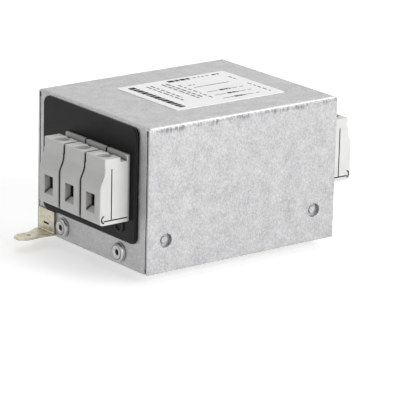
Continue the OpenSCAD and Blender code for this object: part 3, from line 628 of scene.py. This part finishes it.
def rivet_material(colour, spread, height, ring, width):
    """Satin aluminium with painted shade of a groove: a dark ring between each rivet's flange and its crown.

    The rivets stand at x = -spread and spread; ring is the groove's radius and width is half its width.
    """
    material = metal_material("satin_aluminium", colour, roughness=0.36)
    tree = material.node_tree
    shader = tree.nodes["Principled BSDF"]
    place = node(tree, "SeparateXYZ", _0=node(tree, "TexCoord").outputs["Object"]).outputs
    across = maths(tree, "SUBTRACT", maths(tree, "ABSOLUTE", place["X"]), spread)
    up = maths(tree, "SUBTRACT", place["Z"], height)
    squares = maths(tree, "MULTIPLY_ADD", across, across, maths(tree, "MULTIPLY", up, up))
    radius = maths(tree, "SQRT", squares)
    off_ring = maths(tree, "ABSOLUTE", maths(tree, "SUBTRACT", radius, ring))
    groove = ramp(tree, off_ring, width, width * 0.3)
    plain = shader.inputs["Base Color"].links[0].from_socket
    # painted shade: a dark ring where the groove between flange and crown is shaded
    ring_shaded = mix_colour(tree, maths(tree, "MULTIPLY", groove, 0.75), plain, GROOVE_SHADE)
    tree.links.new(ring_shaded, shader.inputs["Base Color"])
    return material


class LINEFILTER_OT_rivets(FinishOperator, Operator):
    """Finish the blind rivets at both ends"""

    bl_idname = "linefilter.rivets"
    bl_label = "Blind rivets"

    def execute(self, context):
        low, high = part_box("front_rivets")
        head_radius = (high.z - low.z) / 2
        metal = rivet_material(
            context.scene.filter_metal.rivet_colour, spread=high.x - head_radius, height=(low.z + high.z) / 2,
            ring=0.72 * head_radius, width=0.28 * MM,
        )
        dress(metal, "front_rivets", "rear_rivets")
        return {"FINISHED"}


class LINEFILTER_OT_earth_tab(FinishOperator, Operator):
    """Finish the tinned earth tab"""

    bl_idname = "linefilter.earth_tab"
    bl_label = "Earth tab"

    def execute(self, context):
        colour = context.scene.filter_metal.tab_colour
        dress(metal_material("tinned_tab", colour, roughness=0.36, tarnish=0.3, stain=0.6), "earth_tab")
        return {"FINISHED"}


# Print on the label, in millimetres from its middle. A row has its start (x, y), its length, its height, the
# length of its longest dash and the gap after each dash; a row with upright=True runs along y.
HEAVY_ROWS = (
    dict(start=(-14.6, -18.4), length=29.0, height=2.6, dash=2.3, gap=0.45),
    dict(start=(-14.4, -3.0), length=9.2, height=1.9, dash=2.6, gap=0.5, upright=True),
    dict(start=(3.3, 5.4), length=4.4, height=1.3, dash=1.9, gap=0.4, upright=True),
    dict(start=(8.0, 5.0), length=4.4, height=1.3, dash=1.9, gap=0.4, upright=True),
    dict(start=(12.6, 4.4), length=4.4, height=1.3, dash=1.9, gap=0.4, upright=True),
    dict(start=(-14.4, 15.8), length=3.6, height=1.0, dash=1.6, gap=0.4, upright=True),
)
THIN_ROWS = (
    dict(start=(-12.9, -13.0), length=20.5, height=0.7, dash=2.9, gap=0.8),
    dict(start=(-12.9, -11.2), length=17.4, height=0.7, dash=2.5, gap=0.8),
    dict(start=(-12.7, -6.8), length=20.6, height=0.75, dash=3.1, gap=0.7),
    dict(start=(-12.7, -5.0), length=20.0, height=0.75, dash=2.7, gap=0.7),
    dict(start=(-9.0, -2.6), length=19.8, height=0.65, dash=2.2, gap=1.0),
    dict(start=(-7.0, 0.0), length=3.4, height=0.6, dash=1.5, gap=0.5, upright=True),
    dict(start=(-3.8, 0.0), length=15.0, height=0.45, dash=15.0, gap=0.5, upright=True),
    dict(start=(3.3, 0.0), length=15.6, height=0.4, dash=4.6, gap=0.9, upright=True),
    dict(start=(8.0, -0.2), length=15.6, height=0.4, dash=4.6, gap=0.9, upright=True),
    dict(start=(12.6, -0.4), length=15.6, height=0.4, dash=4.6, gap=0.9, upright=True),
    dict(start=(-14.4, 7.4), length=7.0, height=0.55, dash=1.7, gap=0.5, upright=True),
    dict(start=(-9.6, 19.4), length=4.6, height=0.6, dash=1.9, gap=0.6),
    dict(start=(0.6, 19.4), length=12.6, height=0.55, dash=2.3, gap=0.9),
)
DASH_PATTERN = (1.0, 0.62, 0.81)
SHORTEST_DASH = 0.3
PRINT_CORNER = 0.18 * MM


def dashes(start, length, height, dash, gap, upright=False):
    """The middle and size of each dash of a row; their lengths follow DASH_PATTERN over and over."""
    along, count = 0.0, 0
    while along < length - SHORTEST_DASH:
        long = min(dash * DASH_PATTERN[count % len(DASH_PATTERN)], length - along)
        here = along + long / 2
        if upright:
            yield (start[0], start[1] + here), (height, long)
        else:
            yield (start[0] + here, start[1]), (long, height)
        along += long + gap
        count += 1


class LINEFILTER_OT_label(FinishOperator, Operator):
    """Finish the label's film and lay plain bars and rows of print on it"""

    bl_idname = "linefilter.label"
    bl_label = "Label"

    def execute(self, context):
        label = context.scene.filter_label
        dress(film_material("white_film", label.film, roughness=0.38), "label")
        low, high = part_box("label")
        middle = (low + high) / 2
        inks = (
            ("label_bars", HEAVY_ROWS, "print_dark", label.ink),
            ("label_rows", THIN_ROWS, "print_pale", label.pale_ink),
        )
        for name, rows, ink_name, ink in inks:
            shape = bmesh.new()
            for (x, y), (along_x, along_y) in (dash for row in rows for dash in dashes(**row)):
                centre = Vector((middle.x + x * MM, middle.y + y * MM, high.z + label.print_height / 2))
                add_slab(shape, centre, (along_x * MM, along_y * MM, label.print_height))
            upright = [e for e in shape.edges if abs((e.verts[0].co - e.verts[1].co).normalized().z) > 0.9]
            bmesh.ops.bevel(
                shape, geom=upright, offset=PRINT_CORNER, offset_type="OFFSET", segments=2, profile=0.5,
                affect="EDGES", material=-1, clamp_overlap=True,
            )
            place_piece(shape, name, film_material(ink_name, ink, roughness=0.6, specular=0.1))
        return {"FINISHED"}


class LINEFILTER_OT_circuit_board(FinishOperator, Operator):
    """Finish the board, the insulating sheet under it, its standoffs and screws"""

    bl_idname = "linefilter.circuit_board"
    bl_label = "Circuit board"

    def execute(self, context):
        laminate = moulding_material(
            "board_laminate", BASE_COLOURS["board_laminate"], grain=0.3 * MM, roughness=0.3
        )
        paper = film_material("pressed_paper", BASE_COLOURS["insulation_paper"], roughness=0.8)
        brass = metal_material("turned_brass", BASE_COLOURS["post_brass"], roughness=0.3)
        screws = metal_material("board_screw", context.scene.filter_metal.screw_colour, roughness=0.36)
        dress(laminate, "circuit_board")
        dress(paper, "insulating_sheet")
        dress(brass, "board_standoffs")
        dress(screws, "board_screws")
        return {"FINISHED"}


class LINEFILTER_OT_choke(FinishOperator, Operator):
    """Finish the ring core, its foot and its three windings"""

    bl_idname = "linefilter.choke"
    bl_label = "Choke"

    def execute(self, context):
        ferrite = moulding_material("coated_ferrite", BASE_COLOURS["ferrite"], grain=0.6 * MM, roughness=0.5)
        polyamide = moulding_material(
            "natural_polyamide", BASE_COLOURS["natural_moulding"], grain=0.4 * MM, roughness=0.5
        )
        copper = metal_material(
            "enamelled_wire", BASE_COLOURS["winding_copper"], roughness=0.25, tarnish=0.08
        )
        dress(ferrite, "choke_core")
        dress(polyamide, "choke_base")
        dress(copper, *(f"choke_winding_{phase}" for phase in PHASES))
        return {"FINISHED"}


class LINEFILTER_OT_capacitors(FinishOperator, Operator):
    """Finish the box capacitors, the disc capacitors and the resistors"""

    bl_idname = "linefilter.capacitors"
    bl_label = "Capacitors and resistors"

    def execute(self, context):
        grain = 0.5 * MM
        case = moulding_material("capacitor_case", BASE_COLOURS["capacitor_case"], grain, roughness=0.3)
        dipped = moulding_material("dipped_coating", BASE_COLOURS["disc_coating"], grain, roughness=0.25)
        lacquer = moulding_material("lacquer", BASE_COLOURS["resistor_coating"], grain, roughness=0.3)
        for side in SIDES:
            dress(case, *(f"{side}_capacitor_{phase}" for phase in PHASES))
        dress(dipped, "earth_capacitors")
        dress(lacquer, "discharge_resistors")
        return {"FINISHED"}


# ---- stage ----

LAMP_TARGET = (0, 0, 0.02)
LAMP_SPREAD = radians(150)
LAMPS = (
    dict(name="key_lamp", place=(0.95, 0.25, 0.42), size=(0.9, 0.7), power="key_power"),
    dict(name="top_lamp", place=(-0.15, 0.35, 1.0), size=(1.1, 1.1), power="top_power"),
    dict(name="front_lamp", place=(-0.3, -1.0, 0.35), size=(0.8, 0.5), power="front_power"),
)
SENSOR_WIDTH = 36
CLIP_START, CLIP_END = 0.05, 20
FLOOR_CELLS = 4


def area_lamp(settings, name, place, size, power):
    """A soft lamp that faces the filter; `power` names the setting that holds its power."""
    lamp = bpy.data.lights.new(name, "AREA")
    lamp.shape = "RECTANGLE"
    lamp.size, lamp.size_y = size
    lamp.energy = getattr(settings, power)
    lamp.spread = LAMP_SPREAD
    made = bpy.data.objects.new(name, lamp)
    made.location = place
    made.rotation_euler = (Vector(LAMP_TARGET) - Vector(place)).to_track_quat("-Z", "Y").to_euler()
    bpy.context.scene.collection.objects.link(made)


def floor_material(colour, lift):
    """Pale floor, lifted to white for the camera and in reflections; it keeps the filter's shadow."""
    material, tree, shader, place = new_material("pale_floor", roughness=0.9, Specular_IOR_Level=0.0)
    faint = node(tree, "TexNoise", Vector=place, Scale=3.0, Detail=2.0).outputs[0]
    base = mix_colour(tree, 1.0, tuple(colour), ramp(tree, faint, 0.3, 0.7, 0.99, 1.01), "MULTIPLY")
    tree.links.new(base, shader.inputs["Base Color"])
    ray = node(tree, "LightPath").outputs
    seen = maths(tree, "MAXIMUM", ray["Is Camera Ray"], ray["Is Glossy Ray"])
    shader.inputs["Emission Color"].default_value = (1, 1, 1, 1)
    tree.links.new(maths(tree, "MULTIPLY", seen, lift), shader.inputs["Emission Strength"])
    return material


def studio_world(strength, reflected):
    """Even light; the camera sees it white, and reflections see it at a strength of their own."""
    world = bpy.context.scene.world or bpy.data.worlds.new("studio")
    bpy.context.scene.world = world
    world.use_nodes = True
    tree = world.node_tree
    background = tree.nodes["Background"]
    background.inputs["Color"].default_value = (1, 1, 1, 1)
    ray = node(tree, "LightPath").outputs
    seen = maths(tree, "MAXIMUM", ray["Is Camera Ray"], ray["Is Transmission Ray"])
    level = maths(tree, "ADD", maths(tree, "MULTIPLY", seen, 1.0 - strength), strength)
    glossy = maths(tree, "MULTIPLY", ray["Is Glossy Ray"], reflected - strength)
    tree.links.new(maths(tree, "ADD", level, glossy), background.inputs["Strength"])


class LINEFILTER_OT_stage(FinishOperator, Operator):
    """Build the floor, the lamps, the world and the camera"""

    bl_idname = "linefilter.stage"
    bl_label = "Stage"

    def execute(self, context):
        stage = context.scene.filter_stage
        low = CAD_BOX[0]
        shape = bmesh.new()
        bmesh.ops.create_grid(
            shape, x_segments=FLOOR_CELLS, y_segments=FLOOR_CELLS, size=stage.floor_size / 2,
            matrix=Matrix.Translation((0, 0, low[2])),
        )
        mesh = bpy.data.meshes.new("floor")
        shape.to_mesh(mesh)
        shape.free()
        floor = bpy.data.objects.new("floor", mesh)
        mesh.materials.append(floor_material(stage.floor_colour, stage.floor_lift))
        context.scene.collection.objects.link(floor)
        studio_world(stage.world_strength, stage.reflected)
        for lamp in LAMPS:
            area_lamp(stage, **lamp)
        data = bpy.data.cameras.new("camera")
        data.lens = stage.lens
        data.sensor_width = SENSOR_WIDTH
        data.clip_start, data.clip_end = CLIP_START, CLIP_END
        camera = bpy.data.objects.new("camera", data)
        camera.location = stage.viewpoint
        camera.rotation_euler = Euler(stage.turn)
        context.scene.collection.objects.link(camera)
        context.scene.camera = camera
        context.scene.view_settings.view_transform = "Standard"
        return {"FINISHED"}


OPERATORS = (
    LINEFILTER_OT_stage,
    LINEFILTER_OT_housing,
    LINEFILTER_OT_panels,
    LINEFILTER_OT_terminals,
    LINEFILTER_OT_clamps,
    LINEFILTER_OT_rivets,
    LINEFILTER_OT_earth_tab,
    LINEFILTER_OT_label,
    LINEFILTER_OT_rail_clip,
    LINEFILTER_OT_circuit_board,
    LINEFILTER_OT_choke,
    LINEFILTER_OT_capacitors,
)

SETTINGS = {
    "filter_steel": SteelSettings,
    "filter_moulding": MouldingSettings,
    "filter_label": LabelSettings,
    "filter_metal": MetalSettings,
    "filter_stage": StageSettings,
}


class LINEFILTER_PT_sidebar(Panel):
    """Lists the pieces of the line filter and their settings"""

    bl_label = "Line Filter"
    bl_idname = "LINEFILTER_PT_sidebar"
    bl_space_type = "VIEW_3D"
    bl_region_type = "UI"
    bl_category = "Line Filter"

    def draw(self, context):
        layout = self.layout
        for operator in OPERATORS:
            layout.operator(operator.bl_idname)
        for key, settings in SETTINGS.items():
            box = layout.box()
            for name in settings.__annotations__:
                box.prop(getattr(context.scene, key), name)


CLASSES = (*SETTINGS.values(), *OPERATORS, LINEFILTER_PT_sidebar)


def register():
    for cls in CLASSES:
        bpy.utils.register_class(cls)
    for key, settings in SETTINGS.items():
        setattr(bpy.types.Scene, key, PointerProperty(type=settings))


def unregister():
    for key in SETTINGS:
        delattr(bpy.types.Scene, key)
    for cls in reversed(CLASSES):
        bpy.utils.unregister_class(cls)


def main():
    """Registers the add-on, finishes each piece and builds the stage."""
    register()
    for operator in OPERATORS:
        group, name = operator.bl_idname.split(".")
        if getattr(getattr(bpy.ops, group), name)() != {"FINISHED"}:
            raise RuntimeError(f"{operator.bl_label} wasn't finished")


if __name__ == "__main__":
    main()
